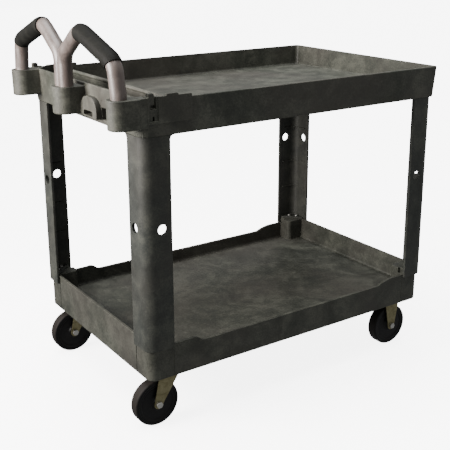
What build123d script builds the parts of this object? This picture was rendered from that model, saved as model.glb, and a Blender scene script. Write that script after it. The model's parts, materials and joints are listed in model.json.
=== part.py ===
from build123d import *
import math
import os

# Two-shelf utility cart in moulded structural foam, with an M-shaped push handle.
# Frame: millimetres, +Z up, floor at Z = 0, origin under the middle of the whole cart.
# +X runs along the shelves towards the fixed casters, -X towards the handle, -Y is the front side.

os.makedirs("parts", exist_ok=True)

# ------------------------------------------------------------------ driving dimensions
FAR_END_X = 526.5          # outside of the top shelf's lip at the fixed-caster end
LIP_HALF_Y = 324.0         # outside of the top shelf's lip, front and back
LIP_Z = 873.0
HANDLE_LIP_Z = 878.0       # the lip stands higher around the trough at the handle end
SKIRT_Z = 784.0            # bottom edge of the top shelf's skirt
APRON_X = -452.5           # outside of the top shelf's wall at the handle end
DRAFT = 6.0                # how far the top shelf's walls lean in from lip to skirt
WALL = 7.0
FLOOR_THICK = 6.0
TOP_FLOOR_Z = 809.0
TROUGH_FLOOR_Z = 800.0
RIM_X = -380.5             # middle of the tub wall between tray and trough
RIM_R = 5.0
RIM_OVERHANG = 3.0         # the rail stands this far proud of the wall under it
FAR_CORNER_R = 14.0
NEAR_CORNER_R = 26.0
TRAY_CORNER_R = 10.0
COVE_R = 6.0               # cove between a tray's floor and its walls
RIB_THICK = 4.0

SOCKET_X = -490.5          # outer handle sockets on the handle end
SOCKET_Y = 293.0
SOCKET_R = 30.0
SOCKET_Z = (806.0, 877.0)
MID_SOCKET_X = -493.5      # middle handle socket
MID_SOCKET_R = 33.0
MID_SOCKET_Z = (800.0, 870.0)
SOCKET_DRAFT = 1.0         # degrees

POST_R = 19.0              # handle tube
POST_FOOT_Z = 822.0
LOBE_Y = 11.0              # the two tubes run side by side down the middle post
POST_TOP = (-490.5, 293.0, 885.0)
OUTER_BEND = (-492.0, 281.0, 959.0)
TOP_BEND = (-494.5, 110.0, 1018.5)
JUNCTION = (-493.5, LOBE_Y, 951.0)
BEND_R = {"post": 60.0, "outer": 40.0, "top": 50.0, "junction": 46.0}
GRIP_R = 22.0
GRIP_GAP = 0.05
GRIP_END_Y = 112.0         # the sleeves end at the crest of each top bend

NOTCH_Y = (231.0, 247.0, 263.0)
NOTCH_DROP = 22.0          # depth of the V-notch in the apron
LEDGE_X = -429.5           # the outer sockets' tops run on along the side wall to here
LEDGE_IN_Y = 287.0
TAB_X = -465.5             # arch-topped housing on the apron, with a slot at its foot
TAB_Y = (-118.0, -29.0)
TAB_Z = (797.0, 850.0)
TAB_ARCH_R = 36.0
SLOT_Y = (-98.0, -48.0)
SLOT_Z = (801.0, 814.0)
POCKET_Y = (-200.0, -119.0)
POCKET_Z = (797.0, 828.0)
POCKET_DEEP = 17.0
RECESS_TOP_Z = 848.0       # shallow recess above the pocket
RECESS_DEEP = 2.0
CHANNEL_X = (-429.5, -404.0)
CHANNEL_DEEP = 3.0
NOTCH_DEEP = 18.0
PAD_END_X = -313.5
BUMP_X = (-384.0, -350.0)
KNOB_X = {"front": -430.0, "back": -451.0}

LEG_LEFT_X = -447.5        # outer faces of the legs
LEG_RIGHT_X = 520.5
LEG_HALF_Y = 317.0
LEG_ARM = 77.0
LEG_WALL = 8.0
LEG_R = 30.0
LEG_FOOT_Z = 234.0
LEG_HOLE_R = 13.5
LEG_HOLE_Z = 553.0
LEG_HOLE_IN = 50.0         # from the leg's outer corner
LEG_RIB_Z = (371.0, 464.0, 586.0)
LEG_RIB_DEEP = 4.0
LEG_RIB_THICK = 2.5
LEG_RIB_END = 64.0         # the ribs stop short of the arms' tips

SHELF_BOTTOM_Z = 148.0     # lower shelf
SHELF_FLOOR_Z = 188.0
SIDE_LIP_Z = 226.0
SIDE_LIP_HIGH_Z = 240.0
END_LIP_Z = 256.0
CORNER_BLOCK_X = 66.0
CORNER_BLOCK_Y = 57.0

PAD_Z = 156.0              # underside of the caster pads, and height of a caster
PLATE_THICK = 3.0
PLATE_X = 100.0
PLATE_Y = 75.0
PLATE_BOLT_X = 38.0
PLATE_BOLT_Y = 26.0
CASTER_Y = 258.6
SWIVEL_X = -366.5
SWIVEL_TRAIL = 35.0
RIGID_X = 435.5

WHEEL_R = 63.5
WHEEL_W = 32.0
TYRE_IN_R = 54.0
HUB_HALF = 19.0
FORK_IN = 20.0             # half the gap between the fork's legs
FORK_THICK = 3.0
AXLE_R = 5.0
SLEEVE_R = 7.0
BUSH_R = 10.0
RUNNING = 0.05             # radial running clearance

CROWN_Z = 138.0            # underside of the swivel fork's crown
RACE_PITCH_R = 25.5
BALL_R = 3.2
BALL_Z = 147.0
BALL_COUNT = 20
KINGPIN_R = 6.0

SCREW_R = 3.0
BOLT_R = 4.0

SIDES = {"front": -1, "back": 1}
ENDS = {"left": -1, "right": 1}


# ------------------------------------------------------------------ helpers
def block(x0, x1, y0, y1, z0, z1):
    centre = Pos((x0 + x1) / 2, (y0 + y1) / 2, (z0 + z1) / 2)
    return centre * Box(abs(x1 - x0), abs(y1 - y0), abs(z1 - z0))


def rod_z(x, y, z0, z1, radius):
    return Pos(x, y, (z0 + z1) / 2) * Cylinder(radius, z1 - z0)


def rod_y(x, y0, y1, z, radius):
    return Pos(x, (y0 + y1) / 2, z) * Rot(90, 0, 0) * Cylinder(radius, abs(y1 - y0))


def rod_x(x0, x1, y, z, radius):
    return Pos((x0 + x1) / 2, y, z) * Rot(0, 90, 0) * Cylinder(radius, abs(x1 - x0))


def hex_z(x, y, z0, z1, across_flats):
    flat = RegularPolygon(across_flats / 2, 6, major_radius=False)
    return extrude(Pos(x, y, z0) * flat, z1 - z0)


def hex_y(x, y0, y1, z, across_flats):
    flat = Plane.XZ * RegularPolygon(across_flats / 2, 6, major_radius=False)
    return Pos(x, 0, z) * extrude(Pos(0, max(y0, y1), 0) * flat, abs(y1 - y0))


def rounded_plate(x0, x1, half_y, z, near_r, far_r):
    """Flat outline, rounded by near_r at its -X corners and far_r at its +X corners."""
    face = Pos((x0 + x1) / 2, 0, z) * Rectangle(x1 - x0, 2 * half_y)
    face = fillet(face.vertices().group_by(Axis.X)[0], near_r)
    return fillet(face.vertices().group_by(Axis.X)[-1], far_r)


def tapered(low, high):
    return loft([low, high], ruled=True)


def joined(solids):
    whole = solids[0]
    for solid in solids[1:]:
        whole = whole + solid
    return whole


def save(name, solids):
    """Write one node: a single solid, or a group of separate identical ones."""
    group = solids if isinstance(solids, list) else [solids]
    pieces = [piece for solid in group for piece in solid.solids()]
    shape = pieces[0] if len(pieces) == 1 else Compound(children=pieces)
    export_step(shape, "parts/" + name + ".step")


# ------------------------------------------------------------------ top shelf
def top_shelf():
    lean = DRAFT / (LIP_Z - SKIRT_Z)
    shell = tapered(
        rounded_plate(APRON_X + DRAFT - 1, FAR_END_X - DRAFT, LIP_HALF_Y - DRAFT, SKIRT_Z,
                      NEAR_CORNER_R - 2, FAR_CORNER_R - 2),
        rounded_plate(APRON_X, FAR_END_X, LIP_HALF_Y, LIP_Z, NEAR_CORNER_R, FAR_CORNER_R),
    )
    shell = fillet(shell.faces().sort_by(Axis.Z)[-1].edges(), 2.5)
    shell = fillet(shell.faces().sort_by(Axis.Z)[0].edges(), 3.0)

    # tray: the load goes in here
    floor_in = (LIP_Z - TOP_FLOOR_Z) * lean
    tray = tapered(
        rounded_plate(RIM_X + RIM_R + 3, FAR_END_X - WALL - floor_in, LIP_HALF_Y - WALL - floor_in,
                      TOP_FLOOR_Z, TRAY_CORNER_R, TRAY_CORNER_R),
        rounded_plate(RIM_X + RIM_R, FAR_END_X - WALL, LIP_HALF_Y - WALL,
                      LIP_Z + 1, TRAY_CORNER_R, TRAY_CORNER_R),
    )
    tray = fillet(tray.faces().sort_by(Axis.Z)[0].edges(), COVE_R)

    # trough between the tray and the apron
    trough_out = APRON_X + WALL
    trough = tapered(
        rounded_plate(trough_out + 3, RIM_X - RIM_R + RIM_OVERHANG - 1, LIP_HALF_Y - WALL - 4,
                      TROUGH_FLOOR_Z, 14, 6),
        rounded_plate(trough_out, RIM_X - RIM_R + RIM_OVERHANG, LIP_HALF_Y - WALL, LIP_Z + 1, 16, 6),
    )

    # hollow underside, one storey under the tray and a lower one under the trough
    inside_y = LIP_HALF_Y - DRAFT - WALL
    under = block(RIM_X - 1, FAR_END_X - DRAFT - WALL, -inside_y, inside_y,
                  SKIRT_Z - 1, TOP_FLOOR_Z - FLOOR_THICK)
    low_under = block(APRON_X + DRAFT + WALL, RIM_X, -inside_y, inside_y,
                      SKIRT_Z - 1, TROUGH_FLOOR_Z - FLOOR_THICK)
    shell = shell - tray - trough - under - low_under

    # rounded rail along the wall between tray and trough, and the raised lip of the apron
    rim_half = LIP_HALF_Y - WALL
    shell = shell + block(RIM_X - RIM_R + RIM_OVERHANG, RIM_X + RIM_R, -rim_half - 1, rim_half + 1,
                          LIP_Z - 8, HANDLE_LIP_Z - RIM_R)
    shell = shell + rod_y(RIM_X, -rim_half - 1, rim_half + 1, HANDLE_LIP_Z - RIM_R, RIM_R)
    raised = block(APRON_X, APRON_X + WALL, -rim_half, rim_half, LIP_Z - 8, HANDLE_LIP_Z)
    shell = shell + fillet(raised.faces().sort_by(Axis.Z)[-1].edges().filter_by(Axis.Y), 2.5)

    # ribs under the floor, and solid blocks that the legs are screwed to
    ribs = []
    for y in (-210, -105, 0, 105, 210):
        ribs.append(block(APRON_X + 10, FAR_END_X - 12, y - RIB_THICK / 2, y + RIB_THICK / 2,
                          SKIRT_Z + 4, TOP_FLOOR_Z - FLOOR_THICK - 8))
        ribs.append(block(RIM_X, FAR_END_X - 12, y - RIB_THICK / 2, y + RIB_THICK / 2,
                          SKIRT_Z + 4, TOP_FLOOR_Z - FLOOR_THICK + 1))
    for x in (-300, -180, -60, 60, 180, 300, 420):
        ribs.append(block(x - RIB_THICK / 2, x + RIB_THICK / 2, -LIP_HALF_Y + 10, LIP_HALF_Y - 10,
                          SKIRT_Z + 4, TOP_FLOOR_Z - FLOOR_THICK + 1))
    for sy in SIDES.values():
        for x0, x1 in ((LEG_LEFT_X + 6, LEG_LEFT_X + 72), (LEG_RIGHT_X - 72, LEG_RIGHT_X - 6)):
            top = TROUGH_FLOOR_Z - 1 if x0 < 0 else TOP_FLOOR_Z - 1
            ribs.append(block(x0, x1, sy * (LEG_HALF_Y - 72), sy * (LEG_HALF_Y - 5), SKIRT_Z, top))
    shell = shell + ribs

    # sockets for the three feet of the handle
    shell = shell + handle_sockets()
    for x, y, _ in socket_places():
        offsets = (0,) if y else (-LOBE_Y, LOBE_Y)
        for dy in offsets:
            shell = shell - rod_z(x, y + dy, POST_FOOT_Z, HANDLE_LIP_Z + 5, POST_R + GRIP_GAP)
        shell = shell - rod_z(x, y, MID_SOCKET_Z[0] - 5, POST_FOOT_Z + 1, SCREW_R + 0.3)

    shell = shell + apron_tab() - apron_pocket_and_slot()

    # V-notch in the apron
    top = HANDLE_LIP_Z + 1
    notch = Plane.YZ * Polygon((NOTCH_Y[0], top), (NOTCH_Y[2], top), (NOTCH_Y[1], top - NOTCH_DROP), align=None)
    shell = shell - Pos(APRON_X - 3, 0, 0) * extrude(notch, WALL + 6)

    for side in SIDES.values():
        shell = corner_fitting(shell, side)

    # pilot holes for the leg screws
    for x, y in leg_screw_places():
        shell = shell - rod_z(x, y, SKIRT_Z - 1, SKIRT_Z + 14, SCREW_R)
    return shell


def socket_places():
    """Centre and underside height of the three handle sockets."""
    return [
        (SOCKET_X, -SOCKET_Y, SOCKET_Z[0]),
        (MID_SOCKET_X, 0, MID_SOCKET_Z[0]),
        (SOCKET_X, SOCKET_Y, SOCKET_Z[0]),
    ]


def socket_body(x, y, radius, z_range, back_x):
    """D-shaped boss: round towards the handle end, square where it joins the apron."""
    outline = Pos(x, y) * Circle(radius) + Pos((x + back_x) / 2, y) * Rectangle(back_x - x, 2 * radius)
    body = extrude(Pos(0, 0, z_range[1]) * outline, z_range[0] - z_range[1], taper=SOCKET_DRAFT)
    body = fillet(body.faces().sort_by(Axis.Z)[0].edges(), 4.0)
    return fillet(body.faces().sort_by(Axis.Z)[-1].edges(), 1.5)


def handle_sockets():
    sockets = [socket_body(MID_SOCKET_X, 0, MID_SOCKET_R, MID_SOCKET_Z, APRON_X + WALL - 1)]
    for side in SIDES.values():
        y = side * SOCKET_Y
        sockets.append(socket_body(SOCKET_X, y, SOCKET_R, SOCKET_Z, APRON_X + WALL))
        ledge = block(APRON_X + 2, LEDGE_X, side * (LIP_HALF_Y - 1), side * LEDGE_IN_Y,
                      SOCKET_Z[0] + 2, SOCKET_Z[1])
        sockets.append(fillet(ledge.edges().filter_by(Axis.Z).group_by(Axis.X)[-1], 2.0))
    return joined(sockets)


def apron_tab():
    """Arch-topped housing on the apron between the middle and the front handle socket."""
    outline = Plane.YZ * (Pos((TAB_Y[0] + TAB_Y[1]) / 2, (TAB_Z[0] + TAB_Z[1]) / 2)
                          * Rectangle(TAB_Y[1] - TAB_Y[0], TAB_Z[1] - TAB_Z[0]))
    outline = fillet(outline.vertices().group_by(Axis.Z)[-1], TAB_ARCH_R)
    tab = Pos(TAB_X, 0, 0) * extrude(outline, APRON_X + 3 - TAB_X)
    tab = fillet(tab.faces().sort_by(Axis.X)[0].edges(), 2.5)
    backing = block(APRON_X + 4, APRON_X + POCKET_DEEP + 4, POCKET_Y[0] - 4, TAB_Y[1],
                    TROUGH_FLOOR_Z - 3, POCKET_Z[1] + 4)
    return tab + backing


def apron_pocket_and_slot():
    pocket = block(APRON_X - 4, APRON_X + POCKET_DEEP, POCKET_Y[0], POCKET_Y[1], POCKET_Z[0], POCKET_Z[1])
    slot = block(TAB_X - 3, APRON_X + 8, SLOT_Y[0], SLOT_Y[1], SLOT_Z[0], SLOT_Z[1])
    slot = fillet(slot.edges().filter_by(Axis.X).group_by(Axis.Z)[-1], 6)
    recess = block(APRON_X - 4, APRON_X + RECESS_DEEP, POCKET_Y[0], POCKET_Y[1], POCKET_Z[1] - 1, RECESS_TOP_Z)
    recess = fillet(recess.edges().filter_by(Axis.X).group_by(Axis.Z)[-1], 8)
    return pocket + slot + recess


def corner_fitting(shell, side):
    """Notched channel, raised pad and stop knob on the side wall beside an outer handle socket."""
    out = side * LIP_HALF_Y
    inward = -side
    jamb0, jamb1 = CHANNEL_X[0] - 3.5, CHANNEL_X[1] + 3.5
    pad = block(jamb1 - 1, PAD_END_X, out, out + inward * WALL, LIP_Z - 57, HANDLE_LIP_Z + 1)
    pad = fillet(pad.edges().filter_by(Axis.Y), 3)
    bump = block(BUMP_X[0], BUMP_X[1], out, out + inward * WALL, LIP_Z - 10, HANDLE_LIP_Z + 6)
    bump = fillet(bump.edges().filter_by(Axis.Y).group_by(Axis.Z)[-1], 6)
    jambs = block(jamb0, jamb1, out, out + inward * 22, LIP_Z - 57, HANDLE_LIP_Z + 1)
    knob_x = KNOB_X["front"] if side < 0 else KNOB_X["back"]
    knob = block(knob_x, knob_x + 14, out + inward * 1.5, out + inward * 15, LIP_Z - 12, HANDLE_LIP_Z + 10.5)
    knob = fillet(knob.faces().sort_by(Axis.Z)[-1].edges(), 3)
    wall = block(APRON_X + 2, jamb0 + 2, out + inward * 0.5, out + inward * WALL, LIP_Z - 8, HANDLE_LIP_Z)
    channel = block(CHANNEL_X[0], CHANNEL_X[1], out - inward, out + inward * CHANNEL_DEEP,
                    LIP_Z - 51, HANDLE_LIP_Z + 3)
    middle = (CHANNEL_X[0] + CHANNEL_X[1]) / 2
    notch = block(middle - 8, middle + 8, out - inward, out + inward * NOTCH_DEEP, LIP_Z - 23, HANDLE_LIP_Z + 3)
    slit = block(middle - 2.5, middle + 2.5, out - inward, out + inward * NOTCH_DEEP, LIP_Z - 51, LIP_Z - 40)
    return shell + wall + pad + bump + jambs - channel - notch - slit + knob


# ------------------------------------------------------------------ legs
def leg_outline(wall):
    """L-section with its outer corner at the origin and its arms along +X and +Y."""
    square = Pos(LEG_ARM / 2, LEG_ARM / 2) * Rectangle(LEG_ARM, LEG_ARM)
    square = fillet(square.vertices().sort_by_distance((0, 0))[0], LEG_R)
    inner = Pos(wall + LEG_ARM / 2, wall + LEG_ARM / 2) * Rectangle(LEG_ARM, LEG_ARM)
    inner = fillet(inner.vertices().sort_by_distance((0, 0))[0], LEG_R - LEG_WALL)
    return square - inner


def leg():
    outline = leg_outline(LEG_WALL)
    body = extrude(Pos(0, 0, LEG_FOOT_Z) * outline, SKIRT_Z - LEG_FOOT_Z)
    tips = body.edges().filter_by(Axis.Z)
    tips = [e for e in tips if max(e.center().X, e.center().Y) > LEG_ARM - 0.01]
    body = fillet(tips, 2.0)
    for z in LEG_RIB_Z:
        reach = Pos(LEG_RIB_END / 2, LEG_RIB_END / 2) * Rectangle(LEG_RIB_END, LEG_RIB_END)
        rib = leg_outline(LEG_WALL + LEG_RIB_DEEP) & reach
        body = body + extrude(Pos(0, 0, z) * rib, LEG_RIB_THICK)
    web = Polygon((7, 7), (64, 7), (64, 14), (14, 64), (7, 64), align=None)
    corner = web.vertices().sort_by_distance((0, 0))[0]
    web = fillet(corner, LEG_R - LEG_WALL)
    body = body + extrude(Pos(0, 0, END_LIP_Z) * web, 6)
    body = body + extrude(Pos(0, 0, SKIRT_Z - 6) * web, 6)
    flare = block(LEG_ARM - 3, LEG_ARM + 9, 0, LEG_WALL, SKIRT_Z - 9, SKIRT_Z)
    flare = flare - rod_y(LEG_ARM + 9, -1, LEG_WALL + 1, SKIRT_Z - 9, 9)
    flare_y = mirror(flare, Plane(origin=(0, 0, 0), z_dir=(1, -1, 0)))
    body = body + flare + flare_y
    body = body - rod_y(LEG_HOLE_IN, -1, LEG_WALL + 1, LEG_HOLE_Z, LEG_HOLE_R)
    body = body - rod_x(-1, LEG_WALL + 1, LEG_HOLE_IN, LEG_HOLE_Z, LEG_HOLE_R)
    for u, v in ((38, 20), (20, 38)):
        body = body - rod_z(u, v, END_LIP_Z - 1, END_LIP_Z + 7, SCREW_R + 0.3)
        body = body - rod_z(u, v, SKIRT_Z - 7, SKIRT_Z + 1, SCREW_R + 0.3)
    return body


def leg_corner(end, side):
    x = LEG_LEFT_X if end < 0 else LEG_RIGHT_X
    return x, side * LEG_HALF_Y


def placed_leg(end, side):
    solid = leg()
    if end > 0:
        solid = mirror(solid, Plane.YZ)
    if side > 0:
        solid = mirror(solid, Plane.XZ)
    x, y = leg_corner(end, side)
    return Pos(x, y, 0) * solid


def leg_screw_places():
    places = []
    for end in ENDS.values():
        for side in SIDES.values():
            x, y = leg_corner(end, side)
            places.append((x - end * 38, y - side * 20))
            places.append((x - end * 20, y - side * 38))
    return places


def screw(x, y, seat_z, tip_z):
    """Pan-head screw whose head rests at seat_z and whose point is at tip_z."""
    up = 1 if tip_z > seat_z else -1
    head = rod_z(x, y, min(seat_z, seat_z - up * 4), max(seat_z, seat_z - up * 4), 5.5)
    outer = head.faces().sort_by(Axis.Z)[0 if up > 0 else -1]
    head = fillet(outer.edges(), 2.0)
    shank = rod_z(x, y, min(seat_z, tip_z), max(seat_z, tip_z), SCREW_R)
    drive = block(x - 3, x + 3, y - 0.6, y + 0.6, seat_z - up * 2.5, seat_z - up * 5)
    cross = block(x - 0.6, x + 0.6, y - 3, y + 3, seat_z - up * 2.5, seat_z - up * 5)
    return head + shank - drive - cross


# ------------------------------------------------------------------ lower shelf
def lower_shelf():
    x0 = LEG_LEFT_X + LEG_WALL
    x1 = LEG_RIGHT_X - LEG_WALL
    half_y = LEG_HALF_Y - LEG_WALL
    corner_r = LEG_R - LEG_WALL
    body = extrude(rounded_plate(x0, x1, half_y, SHELF_BOTTOM_Z, corner_r, corner_r),
                   END_LIP_Z - SHELF_BOTTOM_Z)
    body = fillet(body.faces().sort_by(Axis.Z)[0].edges(), 4.0)

    # tray
    tray = tapered(
        rounded_plate(x0 + WALL + 3, x1 - WALL - 3, half_y - WALL - 3, SHELF_FLOOR_Z,
                      TRAY_CORNER_R, TRAY_CORNER_R),
        rounded_plate(x0 + WALL, x1 - WALL, half_y - WALL, END_LIP_Z + 1, TRAY_CORNER_R, TRAY_CORNER_R),
    )
    tray = fillet(tray.faces().sort_by(Axis.Z)[0].edges(), COVE_R)
    for end in ENDS.values():
        for side in SIDES.values():
            x, y = leg_corner(end, side)
            keep = block(x, x - end * (LEG_WALL + CORNER_BLOCK_X), y, y - side * (LEG_WALL + CORNER_BLOCK_Y),
                         SHELF_BOTTOM_Z, END_LIP_Z + 5)
            inner = keep.edges().filter_by(Axis.Z).sort_by_distance((0, 0, SHELF_FLOOR_Z))[0]
            tray = tray - fillet(inner, 12)
    body = body - tray

    # hollow underside with ribs, and solid pads for the casters
    under = block(x0 + WALL, x1 - WALL, -(half_y - WALL), half_y - WALL,
                  SHELF_BOTTOM_Z - 1, SHELF_FLOOR_Z - FLOOR_THICK)
    for x in (SWIVEL_X, RIGID_X):
        for side in SIDES.values():
            wide = PLATE_X / 2 + 5
            deep = PLATE_Y / 2 + 6
            y = side * CASTER_Y
            under = under - block(x - wide, x + wide, y - deep, y + deep, PAD_Z, SHELF_FLOOR_Z)
    for end in ENDS.values():
        for side in SIDES.values():
            x, y = leg_corner(end, side)
            under = under - block(x, x - end * (LEG_WALL + CORNER_BLOCK_X), y,
                                  y - side * (LEG_WALL + CORNER_BLOCK_Y), PAD_Z, END_LIP_Z)
    for y in (-200, -100, 0, 100, 200):
        under = under - block(x0, x1, y - RIB_THICK / 2, y + RIB_THICK / 2, SHELF_BOTTOM_Z + 12, SHELF_FLOOR_Z)
    for x in (-240, -120, 0, 120, 240, 340):
        under = under - block(x - RIB_THICK / 2, x + RIB_THICK / 2, -half_y, half_y,
                              SHELF_BOTTOM_Z + 12, SHELF_FLOOR_Z)
    body = body - under

    # front and back walls are lower than the ends, with a shaped step near each leg
    for side in SIDES.values():
        body = body - side_cut(side)

    # grooves that set off the corners on the end walls
    for side in SIDES.values():
        y = side * (LEG_HALF_Y - LEG_ARM - 2)
        body = body - block(x0 - 1, x0 + 3, y - 1.5, y + 1.5, SHELF_BOTTOM_Z - 1, END_LIP_Z - 4)
        body = body - block(x1 - 3, x1 + 1, y - 1.5, y + 1.5, SHELF_BOTTOM_Z - 1, END_LIP_Z - 4)
        for x in (LEG_LEFT_X + LEG_ARM + 2, LEG_RIGHT_X - LEG_ARM - 2):
            body = body - block(x - 0.75, x + 0.75, side * (half_y - 1), side * (half_y + 1),
                                SHELF_BOTTOM_Z - 1, SIDE_LIP_HIGH_Z - 4)

    for x, y in leg_screw_places():
        body = body - rod_z(x, y, END_LIP_Z - 18, END_LIP_Z + 1, SCREW_R)
    for x, y in caster_bolt_places():
        body = body - rod_z(x, y, PAD_Z - 1, PAD_Z + 22, BOLT_R)
    return body


def side_cut(side):
    """Everything above the front or back wall's top edge, as one solid across the wall."""
    left = LEG_LEFT_X + LEG_ARM
    right = LEG_RIGHT_X - LEG_ARM
    top = END_LIP_Z + 2
    with BuildLine() as edge:
        Polyline((left - 10, top), (left - 10, SIDE_LIP_HIGH_Z), (-324, SIDE_LIP_HIGH_Z))
        Spline((-324, SIDE_LIP_HIGH_Z), (-308, SIDE_LIP_HIGH_Z + 1), (-292, SIDE_LIP_HIGH_Z - 5),
               (-270, SIDE_LIP_Z), tangents=((1, 0), (1, 0)))
        Line((-270, SIDE_LIP_Z), (338, SIDE_LIP_Z))
        Spline((338, SIDE_LIP_Z), (352, SIDE_LIP_Z + 4), (382, SIDE_LIP_HIGH_Z - 2),
               (400, SIDE_LIP_HIGH_Z), tangents=((1, 0), (1, 0)))
        Polyline((400, SIDE_LIP_HIGH_Z), (right + 10, SIDE_LIP_HIGH_Z), (right + 10, top), (left - 10, top))
    outline = Plane.XZ * make_face(edge.edges())
    reach = 30
    outer = LEG_HALF_Y
    cut = extrude(outline, reach)
    return Pos(0, -(outer - reach), 0) * cut if side < 0 else Pos(0, outer, 0) * cut


# ------------------------------------------------------------------ handle
def handle_path(side):
    """Centre line of one half of the handle, from its outer foot to its middle foot, and its bend radii."""
    def mirrored(point):
        return point[0], side * point[1], point[2]
    points = [
        (SOCKET_X, side * SOCKET_Y, POST_FOOT_Z),
        mirrored(POST_TOP),
        mirrored(OUTER_BEND),
        mirrored(TOP_BEND),
        mirrored(JUNCTION),
        (MID_SOCKET_X, side * LOBE_Y, POST_FOOT_Z),
    ]
    return points, list(BEND_R.values())


def tube(points, radii, radius):
    path = FilletPolyline(*points, radius=radii)
    start = Plane(origin=path @ 0, z_dir=path % 0)
    return sweep(start * Circle(radius), path=path)


def handle_frame():
    halves = []
    for side in SIDES.values():
        points, radii = handle_path(side)
        halves.append(tube(points, radii, POST_R))
    frame = halves[0] + halves[1]
    for x, y, _ in socket_places():
        frame = frame - rod_z(x, y, POST_FOOT_Z - 1, POST_FOOT_Z + 20, SCREW_R)
    return frame


def grip(side):
    """Soft sleeve over the sloping run, from the middle of the outer bend to the crest of the top bend."""
    points, radii = handle_path(side)
    sleeve = tube(points, radii, GRIP_R) - tube(points, radii, POST_R + GRIP_GAP)
    _, y, z = OUTER_BEND
    outline = [(GRIP_END_Y, z - 64), (y - 77, z - 64), (y + 77, z + 64), (y + 77, z + 110), (GRIP_END_Y, z + 110)]
    window = Plane.YZ * Polygon(*[(side * across, up) for across, up in outline], align=None)
    window = Pos(OUTER_BEND[0], 0, 0) * extrude(window, 60, both=True)
    return sleeve & window


# ------------------------------------------------------------------ casters
def caster_plate(x, y):
    plate = extrude(Pos(x, y, PAD_Z - PLATE_THICK) * RectangleRounded(PLATE_X, PLATE_Y, 9), PLATE_THICK)
    for sx in (-1, 1):
        for sy in (-1, 1):
            hole = rod_z(x + sx * PLATE_BOLT_X, y + sy * PLATE_BOLT_Y, PAD_Z - 5, PAD_Z + 1, BOLT_R + 0.3)
            plate = plate - hole
    return plate


def caster_bolt_places():
    places = []
    for x in (SWIVEL_X, RIGID_X):
        for side in SIDES.values():
            for sx in (-1, 1):
                for sy in (-1, 1):
                    places.append((x + sx * PLATE_BOLT_X, side * CASTER_Y + sy * PLATE_BOLT_Y))
    return places


def caster_bolt(x, y):
    seat = PAD_Z - PLATE_THICK
    return hex_z(x, y, seat - 5.5, seat, 13) + rod_z(x, y, seat, PAD_Z + 20, BOLT_R)


def fork_leg(top_x, axle_x, y, top_z, half_top):
    """One fork leg: wide at the crown, tapering to a round end at the axle."""
    foot_r = 13
    with BuildLine() as edge:
        Polyline((top_x - half_top, top_z), (top_x + half_top, top_z), (axle_x + foot_r, WHEEL_R))
        ThreePointArc((axle_x + foot_r, WHEEL_R), (axle_x, WHEEL_R - foot_r), (axle_x - foot_r, WHEEL_R))
        Line((axle_x - foot_r, WHEEL_R), (top_x - half_top, top_z))
    outline = Plane.XZ * make_face(edge.edges())
    leg_plate = Pos(0, y + FORK_THICK / 2, 0) * extrude(outline, FORK_THICK)
    return leg_plate - rod_y(axle_x, y - FORK_THICK, y + FORK_THICK, WHEEL_R, AXLE_R)


def fork_legs(top_x, axle_x, y, top_z, half_top):
    offset = FORK_IN + FORK_THICK / 2
    near = fork_leg(top_x, axle_x, y - offset, top_z, half_top)
    far = fork_leg(top_x, axle_x, y + offset, top_z, half_top)
    return near, far


def rigid_fork(side):
    y = side * CASTER_Y
    near, far = fork_legs(RIGID_X, RIGID_X, y, PAD_Z - PLATE_THICK + 1, 29)
    return caster_plate(RIGID_X, y) + near + far


def race_groove():
    return Pos(0, 0, BALL_Z) * Torus(RACE_PITCH_R, BALL_R + RUNNING)


def race_ring(x, y, z0, z1):
    ring = Pos(0, 0, (z0 + z1) / 2) * (Cylinder(31, z1 - z0) - Cylinder(20, z1 - z0))
    return Pos(x, y, 0) * (ring - race_groove())


def swivel_plate(side):
    y = side * CASTER_Y
    plate = caster_plate(SWIVEL_X, y) + race_ring(SWIVEL_X, y, BALL_Z + 1.6, PAD_Z - PLATE_THICK)
    return plate - rod_z(SWIVEL_X, y, PAD_Z - PLATE_THICK - 1, PAD_Z + 1, KINGPIN_R)


def kingpin(side):
    y = side * CASTER_Y
    head_top = CROWN_Z - 0.3
    head = rod_z(SWIVEL_X, y, head_top - 5, head_top, 11)
    head = fillet(head.faces().sort_by(Axis.Z)[0].edges(), 2.5)
    return head + rod_z(SWIVEL_X, y, head_top - 1, PAD_Z, KINGPIN_R)


def swivel_fork(side):
    y = side * CASTER_Y
    axle_x = SWIVEL_X - SWIVEL_TRAIL
    crown_top = CROWN_Z + FORK_THICK
    outer = FORK_IN + FORK_THICK
    crown = rod_z(SWIVEL_X, y, CROWN_Z, crown_top, 32)
    crown = crown + block(SWIVEL_X - 30, SWIVEL_X + 30, y - outer, y + outer, CROWN_Z, crown_top)
    near, far = fork_legs(SWIVEL_X, axle_x, y, crown_top, 30)
    fork = crown + near + far + race_ring(SWIVEL_X, y, crown_top, BALL_Z - 1.6)
    return fork - rod_z(SWIVEL_X, y, CROWN_Z - 1, crown_top + 1, KINGPIN_R + RUNNING)


def swivel_balls(side):
    balls = []
    for i in range(BALL_COUNT):
        angle = 2 * math.pi * i / BALL_COUNT
        x = SWIVEL_X + RACE_PITCH_R * math.cos(angle)
        y = side * CASTER_Y + RACE_PITCH_R * math.sin(angle)
        balls.append(Pos(x, y, BALL_Z) * Sphere(BALL_R))
    return balls


def axle_bolt(x, y):
    """Hexagon-head axle bolt: its head is on the outside of the -Y fork leg."""
    outer = FORK_IN + FORK_THICK
    return hex_y(x, y - outer - 6.5, y - outer, WHEEL_R, 16) + rod_y(x, y - outer, y + outer + 11, WHEEL_R, AXLE_R)


def axle_nut(x, y):
    outer = FORK_IN + FORK_THICK
    nut = hex_y(x, y + outer, y + outer + 8, WHEEL_R, 16)
    nut = nut + rod_y(x, y + outer, y + outer + 1.5, WHEEL_R, 10)
    return nut - rod_y(x, y + outer - 1, y + outer + 12, WHEEL_R, AXLE_R)


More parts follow.
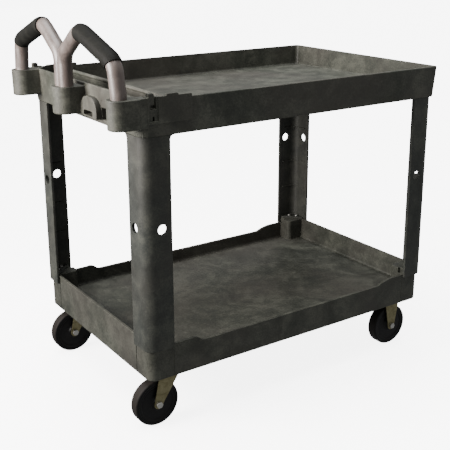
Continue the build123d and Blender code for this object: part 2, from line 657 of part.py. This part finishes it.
def axle_sleeve(x, y):
    return rod_y(x, y - FORK_IN, y + FORK_IN, WHEEL_R, SLEEVE_R) - rod_y(x, y - 30, y + 30, WHEEL_R, AXLE_R)


def revolved(outline, x, y):
    """Turn a closed outline of (radius, offset along the axle) points about the axle."""
    return Pos(x, y, WHEEL_R) * revolve(Polygon(*outline, align=None), Axis.Y)


def wheel_bush(x, y):
    half = HUB_HALF - 0.5
    return rod_y(x, y - half, y + half, WHEEL_R, BUSH_R) - rod_y(x, y - 30, y + 30, WHEEL_R, SLEEVE_R + RUNNING)


def wheel_core(x, y):
    half = [
        (BUSH_R, HUB_HALF), (16, HUB_HALF), (18.5, 15), (22, 13), (45, 12), (48, 14), (TYRE_IN_R, 14.5),
    ]
    outline = half + [(r, -a) for r, a in reversed(half)]
    return revolved(outline, x, y)


def tyre(x, y):
    half_w = WHEEL_W / 2
    outline = Pos((TYRE_IN_R + WHEEL_R) / 2, 0) * Rectangle(WHEEL_R - TYRE_IN_R, WHEEL_W)
    outline = fillet(outline.vertices().group_by(Axis.X)[-1], 5)
    outline = fillet(outline.vertices().group_by(Axis.X)[0], 2)
    return Pos(x, y, WHEEL_R) * revolve(outline, Axis.Y)


# ------------------------------------------------------------------ build every node
save("top_shelf", top_shelf())
save("lower_shelf", lower_shelf())
save("handle_frame", handle_frame())
for side_name, side in SIDES.items():
    save("grip_" + side_name, grip(side))
    for end_name, end in ENDS.items():
        save("leg_" + side_name + "_" + end_name, placed_leg(end, side))

save("handle_screws", [screw(x, y, z, POST_FOOT_Z + 18) for x, y, z in socket_places()])
save("leg_screws_upper", [screw(x, y, SKIRT_Z - 6, SKIRT_Z + 12) for x, y in leg_screw_places()])
save("leg_screws_lower", [screw(x, y, END_LIP_Z + 6, END_LIP_Z - 16) for x, y in leg_screw_places()])
save("caster_bolts", [caster_bolt(x, y) for x, y in caster_bolt_places()])

RIGID_AXLES = [(RIGID_X, side * CASTER_Y) for side in SIDES.values()]
save("rigid_axle_bolts", [axle_bolt(x, y) for x, y in RIGID_AXLES])
save("rigid_axle_nuts", [axle_nut(x, y) for x, y in RIGID_AXLES])
save("rigid_axle_sleeves", [axle_sleeve(x, y) for x, y in RIGID_AXLES])

for side_name, side in SIDES.items():
    swivel_axle = (SWIVEL_X - SWIVEL_TRAIL, side * CASTER_Y)
    rigid_axle = (RIGID_X, side * CASTER_Y)
    save("rigid_fork_" + side_name, rigid_fork(side))
    save("swivel_plate_" + side_name, swivel_plate(side))
    save("kingpin_" + side_name, kingpin(side))
    save("swivel_fork_" + side_name, swivel_fork(side))
    save("swivel_balls_" + side_name, swivel_balls(side))
    save("swivel_axle_bolt_" + side_name, axle_bolt(*swivel_axle))
    save("swivel_axle_nut_" + side_name, axle_nut(*swivel_axle))
    save("swivel_axle_sleeve_" + side_name, axle_sleeve(*swivel_axle))
    for caster_name, axle in (("swivel", swivel_axle), ("rigid", rigid_axle)):
        name = caster_name + "_" + side_name
        save("tyre_" + name, tyre(*axle))
        save("wheel_core_" + name, wheel_core(*axle))
        save("wheel_bush_" + name, wheel_bush(*axle))
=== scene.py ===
import json
import math

import bmesh
import bpy
from mathutils import Matrix, Vector


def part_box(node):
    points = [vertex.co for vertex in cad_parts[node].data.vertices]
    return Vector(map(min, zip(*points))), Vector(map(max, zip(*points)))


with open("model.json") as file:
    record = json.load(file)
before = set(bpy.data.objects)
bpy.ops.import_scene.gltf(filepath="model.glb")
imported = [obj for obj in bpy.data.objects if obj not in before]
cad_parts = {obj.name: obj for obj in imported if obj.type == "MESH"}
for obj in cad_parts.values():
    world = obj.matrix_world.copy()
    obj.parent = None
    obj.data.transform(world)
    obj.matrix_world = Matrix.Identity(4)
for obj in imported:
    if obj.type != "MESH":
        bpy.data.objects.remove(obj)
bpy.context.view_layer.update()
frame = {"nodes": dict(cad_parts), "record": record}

# Two-shelf utility cart: looks, light and camera. Metres, +Z up, handle towards -X, front side -Y.

NODES = frame["nodes"]

# A tyre turns from clean side to dusty tread between these distances from its axle.
TYRE_SIDE_RADIUS = 0.0600
TYRE_TREAD_RADIUS = 0.0628
# Phase of a wheel core's turning rings per metre from its axle.
RING_PHASE = 4200.0
# Radiance of the surroundings on the cart, of the backdrop the camera sees, and of the floor.
SURROUNDINGS = 0.51
BACKDROP = 7.5
FLOOR_GLOW = 5.5
FLOOR_HALF = 14.0


# ------------------------------------------------------------------ shader helpers
class Shader:
    """A new material with its Principled shader, and short calls for the nodes that feed it."""

    def __init__(self, name):
        self.material = bpy.data.materials.new(name)
        self.material.use_nodes = True
        self.tree = self.material.node_tree
        self.surface = self.tree.nodes["Principled BSDF"]
        self.coords = self.tree.nodes.new("ShaderNodeTexCoord").outputs["Object"]

    def node(self, kind, **settings):
        made = self.tree.nodes.new(kind)
        for key, value in settings.items():
            setattr(made, key, value)
        return made

    def feed(self, socket, value):
        if isinstance(value, bpy.types.NodeSocket):
            self.tree.links.new(value, socket)
        else:
            socket.default_value = value

    def place(self, offset=(0, 0, 0), stretch=(1, 1, 1)):
        """Object coordinates, moved by an offset and stretched along the axes."""
        mapping = self.node("ShaderNodeMapping")
        self.feed(mapping.inputs["Vector"], self.coords)
        mapping.inputs["Location"].default_value = offset
        mapping.inputs["Scale"].default_value = stretch
        return mapping.outputs["Vector"]

    def noise(self, vector, scale, detail=4.0, rough=0.55, twist=0.0):
        made = self.node("ShaderNodeTexNoise")
        self.feed(made.inputs["Vector"], vector)
        made.inputs["Scale"].default_value = scale
        made.inputs["Detail"].default_value = detail
        made.inputs["Roughness"].default_value = rough
        made.inputs["Distortion"].default_value = twist
        return made.outputs["Fac"]

    def cells(self, vector, scale, smooth=0.6):
        made = self.node("ShaderNodeTexVoronoi", feature="SMOOTH_F1")
        self.feed(made.inputs["Vector"], vector)
        made.inputs["Scale"].default_value = scale
        made.inputs["Smoothness"].default_value = smooth
        return made.outputs["Distance"]

    def math(self, operation, a, b=0.0, clamp=False):
        made = self.node("ShaderNodeMath", operation=operation, use_clamp=clamp)
        self.feed(made.inputs[0], a)
        self.feed(made.inputs[1], b)
        return made.outputs[0]

    def span(self, value, from_low, from_high, to_low=0.0, to_high=1.0):
        made = self.node("ShaderNodeMapRange")
        self.feed(made.inputs["Value"], value)
        limits = {"From Min": from_low, "From Max": from_high, "To Min": to_low, "To Max": to_high}
        for key, number in limits.items():
            made.inputs[key].default_value = number
        return made.outputs["Result"]

    def ramp(self, value, stops):
        made = self.node("ShaderNodeValToRGB")
        self.feed(made.inputs["Fac"], value)
        elements = made.color_ramp.elements
        while len(elements) < len(stops):
            elements.new(0.5)
        for element, (position, colour) in zip(elements, stops):
            element.position = position
            element.color = (*colour, 1.0)
        return made.outputs["Color"]

    def mix(self, factor, a, b):
        """Colours a and b mixed by factor. The node's colour sockets are inputs 6 and 7 and output 2."""
        made = self.node("ShaderNodeMix", data_type="RGBA")
        self.feed(made.inputs[0], factor)
        for index, value in ((6, a), (7, b)):
            linked = isinstance(value, bpy.types.NodeSocket)
            self.feed(made.inputs[index], value if linked else (*value, 1.0))
        return made.outputs[2]

    def rounded(self, radius):
        """The surface normal with its sharp edges rounded by radius."""
        made = self.node("ShaderNodeBevel", samples=4)
        made.inputs["Radius"].default_value = radius
        return made.outputs["Normal"]

    def edges(self, radius, gain=4.0):
        """A mask that is 1 along sharp edges and 0 on flat or gently curved faces."""
        geometry = self.node("ShaderNodeNewGeometry")
        dot = self.node("ShaderNodeVectorMath", operation="DOT_PRODUCT")
        self.feed(dot.inputs[0], self.rounded(radius))
        self.feed(dot.inputs[1], geometry.outputs["Normal"])
        return self.math("MULTIPLY", self.math("SUBTRACT", 1.0, dot.outputs["Value"]), gain, clamp=True)

    def bump(self, height, distance, strength, normal=None):
        made = self.node("ShaderNodeBump")
        self.feed(made.inputs["Height"], height)
        made.inputs["Distance"].default_value = distance
        made.inputs["Strength"].default_value = strength
        if normal is not None:
            self.feed(made.inputs["Normal"], normal)
        return made.outputs["Normal"]

    def finish(self, colour, roughness, normal=None, **constants):
        self.feed(self.surface.inputs["Base Color"], colour)
        self.feed(self.surface.inputs["Roughness"], roughness)
        if normal is not None:
            self.feed(self.surface.inputs["Normal"], normal)
        for key, value in constants.items():
            self.surface.inputs[key.replace("_", " ")].default_value = value
        return self.material


# ------------------------------------------------------------------ materials
def structural_foam(name, seed, dark, middle, light, warm):
    """Moulded structural foam: swirled blotches, fine speckle, pebbled skin and edges worn pale."""
    s = Shader(name)
    here = s.place(offset=(seed, seed * 0.7, -seed))
    swirl = s.noise(here, 7.0, detail=7.0, rough=0.62, twist=1.2)
    clouds = s.noise(here, 24.0, detail=5.0, rough=0.6, twist=0.5)
    speckle = s.noise(here, 210.0, detail=3.0, rough=0.7)
    amount = s.math("ADD", s.math("MULTIPLY", swirl, 0.42), s.math("MULTIPLY", clouds, 0.3))
    amount = s.math("ADD", amount, s.math("MULTIPLY", speckle, 0.28))
    colour = s.ramp(amount, [(0.42, dark), (0.5, middle), (0.585, light)])
    tint = s.span(s.noise(here, 4.0, detail=3.0), 0.42, 0.62)
    colour = s.mix(s.math("MULTIPLY", tint, 0.45), colour, warm)
    worn = s.math("MULTIPLY", s.edges(0.0022), s.span(clouds, 0.35, 0.65, 0.15, 0.6))
    colour = s.mix(worn, colour, tuple(min(1.0, c * 2.1) for c in light))
    roughness = s.span(clouds, 0.3, 0.7, 0.5, 0.68)
    pebbles = s.math("ADD", s.cells(here, 520.0), s.math("MULTIPLY", speckle, 0.8))
    skin = s.bump(pebbles, 0.0004, 0.35, s.rounded(0.0015))
    waves = s.bump(s.noise(here, 16.0, detail=2.0), 0.004, 0.12, skin)
    return s.finish(colour, roughness, waves, Specular_IOR_Level=0.3)


def handle_plastic():
    """Light warm-grey moulding with faint flow streaks along its tubes."""
    s = Shader("handle_plastic")
    here = s.place()
    flow = s.noise(s.place(stretch=(1, 1, 0.35)), 26.0, detail=6.0, rough=0.6, twist=1.6)
    fine = s.noise(here, 300.0, detail=3.0, rough=0.6)
    amount = s.math("ADD", s.math("MULTIPLY", flow, 0.75), s.math("MULTIPLY", fine, 0.25))
    shades = [(0.3, (0.037, 0.0285, 0.0245)), (0.5, (0.069, 0.055, 0.0485)), (0.7, (0.106, 0.089, 0.08))]
    colour = s.ramp(amount, shades)
    roughness = s.span(flow, 0.3, 0.7, 0.36, 0.5)
    normal = s.bump(s.math("ADD", fine, s.cells(here, 420.0)), 0.0003, 0.18)
    return s.finish(colour, roughness, normal, Specular_IOR_Level=0.5)


def sleeve_rubber():
    """Soft charcoal sleeve with a fine knurled skin and dull, handled patches."""
    s = Shader("sleeve_rubber")
    here = s.place()
    handled = s.noise(here, 30.0, detail=5.0, rough=0.6, twist=0.8)
    fine = s.noise(here, 600.0, detail=2.0, rough=0.6)
    shades = [
        (0.35, (0.0022, 0.0023, 0.0019)),
        (0.55, (0.0042, 0.0043, 0.0035)),
        (0.75, (0.0085, 0.0085, 0.007)),
    ]
    colour = s.ramp(handled, shades)
    roughness = s.span(handled, 0.3, 0.7, 0.52, 0.74)
    normal = s.bump(s.math("ADD", s.cells(here, 800.0, 0.3), fine), 0.0005, 0.45, s.rounded(0.001))
    return s.finish(colour, roughness, normal, Specular_IOR_Level=0.07)


def plated(name, colours, rough_low, rough_high, scratch=0.25, metal=1.0):
    """Plated steel: patchy plating, fine scratches and brighter edges."""
    s = Shader(name)
    here = s.place()
    patches = s.noise(here, 60.0, detail=6.0, rough=0.65, twist=1.0)
    scratches = s.noise(s.place(stretch=(1.0, 1.0, 9.0)), 420.0, detail=3.0, rough=0.7)
    colour = s.ramp(patches, [(0.3, colours[0]), (0.5, colours[1]), (0.7, colours[2])])
    bright = tuple(min(1.0, 1.5 * c) for c in colours[2])
    colour = s.mix(s.math("MULTIPLY", s.edges(0.0008), 0.5), colour, bright)
    wear = s.math("ADD", patches, s.math("MULTIPLY", scratches, 0.3))
    roughness = s.span(wear, 0.35, 0.95, rough_low, rough_high)
    normal = s.bump(scratches, 0.0002, scratch, s.rounded(0.0006))
    return s.finish(colour, roughness, normal, Metallic=metal, Anisotropic=0.25)


def around_axle(s, node):
    """Distance of the surface from a wheel node's axle, in metres."""
    low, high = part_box(node)
    centre = (low + high) / 2
    shifted = s.node("ShaderNodeVectorMath", operation="SUBTRACT")
    s.feed(shifted.inputs[0], s.coords)
    shifted.inputs[1].default_value = centre
    flat = s.node("ShaderNodeVectorMath", operation="MULTIPLY")
    s.feed(flat.inputs[0], shifted.outputs[0])
    flat.inputs[1].default_value = (1.0, 0.0, 1.0)
    length = s.node("ShaderNodeVectorMath", operation="LENGTH")
    s.feed(length.inputs[0], flat.outputs[0])
    return length.outputs["Value"]


def tyre_rubber(node):
    """Black rubber, greyed by dust and scuffs towards its tread."""
    s = Shader("tyre_rubber_" + node)
    here = s.place()
    dust = s.noise(here, 90.0, detail=6.0, rough=0.7, twist=0.6)
    fine = s.noise(here, 900.0, detail=2.0)
    tread = s.span(around_axle(s, node), TYRE_SIDE_RADIUS, TYRE_TREAD_RADIUS)
    amount = s.math("MULTIPLY", s.span(dust, 0.3, 0.7, 0.35, 1.0), tread, clamp=True)
    colour = s.mix(amount, (0.003, 0.003, 0.0032), (0.0125, 0.01, 0.0082))
    roughness = s.span(amount, 0.0, 1.0, 0.42, 0.8)
    normal = s.bump(s.math("ADD", dust, fine), 0.0005, 0.22, s.rounded(0.001))
    return s.finish(colour, roughness, normal, Specular_IOR_Level=0.15)


def wheel_plastic(node):
    """Black moulded wheel centre with faint turning rings and dusty patches."""
    s = Shader("wheel_plastic_" + node)
    radius = around_axle(s, node)
    rings = s.math("SINE", s.math("MULTIPLY", radius, RING_PHASE))
    dust = s.noise(s.place(), 55.0, detail=5.0, rough=0.65, twist=0.5)
    shades = [(0.35, (0.0035, 0.0035, 0.0038)), (0.6, (0.006, 0.0058, 0.0058)), (0.8, (0.013, 0.012, 0.011))]
    colour = s.ramp(dust, shades)
    roughness = s.span(dust, 0.3, 0.7, 0.36, 0.6)
    normal = s.bump(s.math("ADD", s.math("MULTIPLY", rings, 0.3), dust), 0.0003, 0.15, s.rounded(0.0012))
    return s.finish(colour, roughness, normal, Specular_IOR_Level=0.15)


def bush_plastic():
    s = Shader("bush_plastic")
    grain = s.noise(s.place(), 140.0, detail=4.0)
    colour = s.ramp(grain, [(0.3, (0.42, 0.4, 0.34)), (0.7, (0.6, 0.57, 0.5))])
    return s.finish(colour, s.span(grain, 0.3, 0.7, 0.35, 0.55), s.bump(grain, 0.0003, 0.2))


OLIVE = {"dark": (0.0142, 0.016, 0.0115), "middle": (0.028, 0.03, 0.0228), "light": (0.0545, 0.0565, 0.0445),
         "warm": (0.034, 0.0292, 0.0248)}
BLUISH = {"dark": (0.009, 0.0106, 0.0087), "middle": (0.0178, 0.02, 0.017), "light": (0.035, 0.0372, 0.03),
          "warm": (0.0235, 0.021, 0.0168)}
# The lower shelf's foam: the olive foam darkened to 0.85 as painted shade, for the shelf that lies in the
# top shelf's shadow.
OLIVE_WITH_PAINTED_SHADE = {shade: tuple(0.85 * c for c in colour) for shade, colour in OLIVE.items()}
ZINC = [(0.25, 0.25, 0.235), (0.34, 0.34, 0.32), (0.43, 0.425, 0.4)]
BRIGHT_ZINC = [(0.4, 0.4, 0.375), (0.52, 0.52, 0.49), (0.62, 0.615, 0.58)]
CHROMATE = [(0.11, 0.097, 0.05), (0.17, 0.155, 0.088), (0.235, 0.218, 0.134)]

SHARED = {
    "handle_grey": handle_plastic(),
    "grip_sleeve": sleeve_rubber(),
    "screw_steel": plated("screw_steel", ZINC, 0.3, 0.5),
    "bolt_steel": plated("bolt_steel", ZINC, 0.28, 0.48),
    "nut_steel": plated("nut_steel", BRIGHT_ZINC, 0.2, 0.38),
    "sleeve_steel": plated("sleeve_steel", ZINC, 0.25, 0.4),
    "ball_steel": plated("ball_steel", BRIGHT_ZINC, 0.12, 0.25, scratch=0.1),
    "fork_steel": plated("fork_steel", CHROMATE, 0.36, 0.56, scratch=0.2),
    "bush_plastic": bush_plastic(),
}
FOAM = {
    "top_shelf": structural_foam("foam_top_shelf", 0.0, **OLIVE),
    # The lower shelf takes the olive foam darkened by painted shade.
    "lower_shelf": structural_foam("foam_lower_shelf", 3.7, **OLIVE_WITH_PAINTED_SHADE),
    "leg": structural_foam("foam_legs", 8.1, **BLUISH),
}


def material_for(node, slot):
    if slot == "foam_body":
        return FOAM["leg" if node.startswith("leg_") else node]
    if slot == "tyre":
        return tyre_rubber(node)
    if slot == "wheel_plastic":
        return wheel_plastic(node)
    return SHARED[slot]


for part in frame["record"]["subparts"]:
    shown = NODES[part["node"]]
    shown.data.materials.clear()
    shown.data.materials.append(material_for(part["node"], part["material_slot"]))


# ------------------------------------------------------------------ floor, light, camera
def studio_floor():
    mesh = bpy.data.meshes.new("studio_floor")
    shape = bmesh.new()
    bmesh.ops.create_grid(shape, x_segments=8, y_segments=8, size=FLOOR_HALF)
    shape.to_mesh(mesh)
    shape.free()
    floor = bpy.data.objects.new("studio_floor", mesh)
    bpy.context.scene.collection.objects.link(floor)
    s = Shader("studio_floor")
    grain = s.noise(s.place(), 3.0, detail=2.0)
    colour = s.ramp(grain, [(0.3, (0.8, 0.8, 0.8)), (0.7, (0.83, 0.83, 0.83))])
    s.surface.inputs["Emission Color"].default_value = (1, 1, 1, 1)
    mesh.materials.append(s.finish(colour, 0.9, Specular_IOR_Level=0.1, Emission_Strength=FLOOR_GLOW))
    floor.visible_diffuse = False
    floor.visible_glossy = False


def softbox(name, place, target, size, watts, colour, spread):
    """A rectangular area light at place, aimed at target, with its cone narrowed to spread degrees."""
    data = bpy.data.lights.new(name, "AREA")
    data.shape = "RECTANGLE"
    data.size, data.size_y = size
    data.energy = watts
    data.color = colour
    data.spread = math.radians(spread)
    light = bpy.data.objects.new(name, data)
    light.location = place
    light.rotation_mode = "QUATERNION"
    light.rotation_quaternion = (Vector(place) - Vector(target)).to_track_quat("Z", "Y")
    bpy.context.scene.collection.objects.link(light)


def overhead(strength, blur, lean):
    """Broad even light from above, blurred by an angle. Lean is the tilt in degrees about Y and -X."""
    data = bpy.data.lights.new("overhead", "SUN")
    data.energy = strength
    data.angle = math.radians(blur)
    light = bpy.data.objects.new("overhead", data)
    light.rotation_euler = (math.radians(-lean[1]), math.radians(lean[0]), 0.0)
    bpy.context.scene.collection.objects.link(light)


def studio_world():
    """Soft grey surroundings, seen by the camera as plain white."""
    world = bpy.data.worlds.new("studio")
    world.use_nodes = True
    tree = world.node_tree
    back = tree.nodes["Background"]
    path = tree.nodes.new("ShaderNodeLightPath")
    level = tree.nodes.new("ShaderNodeMapRange")
    tree.links.new(path.outputs["Is Camera Ray"], level.inputs["Value"])
    level.inputs["To Min"].default_value = SURROUNDINGS
    level.inputs["To Max"].default_value = BACKDROP
    tree.links.new(level.outputs["Result"], back.inputs["Strength"])
    back.inputs["Color"].default_value = (1, 1, 1, 1)
    bpy.context.scene.world = world


def camera(place, azimuth, elevation, roll, focal_px, shift_y):
    """A camera from its angles in degrees and its focal length in pixels of a 450-pixel picture."""
    picture_px = 450
    turn, lift, lean = (math.radians(a) for a in (azimuth, elevation, roll))
    back = Vector((math.sin(turn) * math.cos(lift), -math.cos(turn) * math.cos(lift), math.sin(lift)))
    right = (-back).cross(Vector((0, 0, 1))).normalized()
    up = right.cross(-back)
    right, up = (math.cos(lean) * right + math.sin(lean) * up, math.cos(lean) * up - math.sin(lean) * right)
    data = bpy.data.cameras.new("camera")
    data.sensor_width = 36.0
    data.lens = focal_px / picture_px * data.sensor_width
    data.shift_y = shift_y
    seen = bpy.data.objects.new("camera", data)
    seen.matrix_world = Matrix.Translation(place) @ Matrix((right, up, back)).transposed().to_4x4()
    bpy.context.scene.collection.objects.link(seen)
    bpy.context.scene.camera = seen


studio_floor()
studio_world()
softbox(
    "key_left",
    place=(-1.9, 0.2, 1.25),
    target=(0.0, 0.1, 1.1),
    size=(0.9, 0.8),
    watts=84.0,
    colour=(1.0, 0.945, 0.915),
    spread=120,
)
overhead(strength=7.1, blur=50.0, lean=(-4.0, 5.0))
camera(
    place=(-1.36289, -2.00643, 1.22289),
    azimuth=-34.17,
    elevation=16.37,
    roll=-0.19,
    focal_px=850.0,
    shift_y=-0.0778,
)
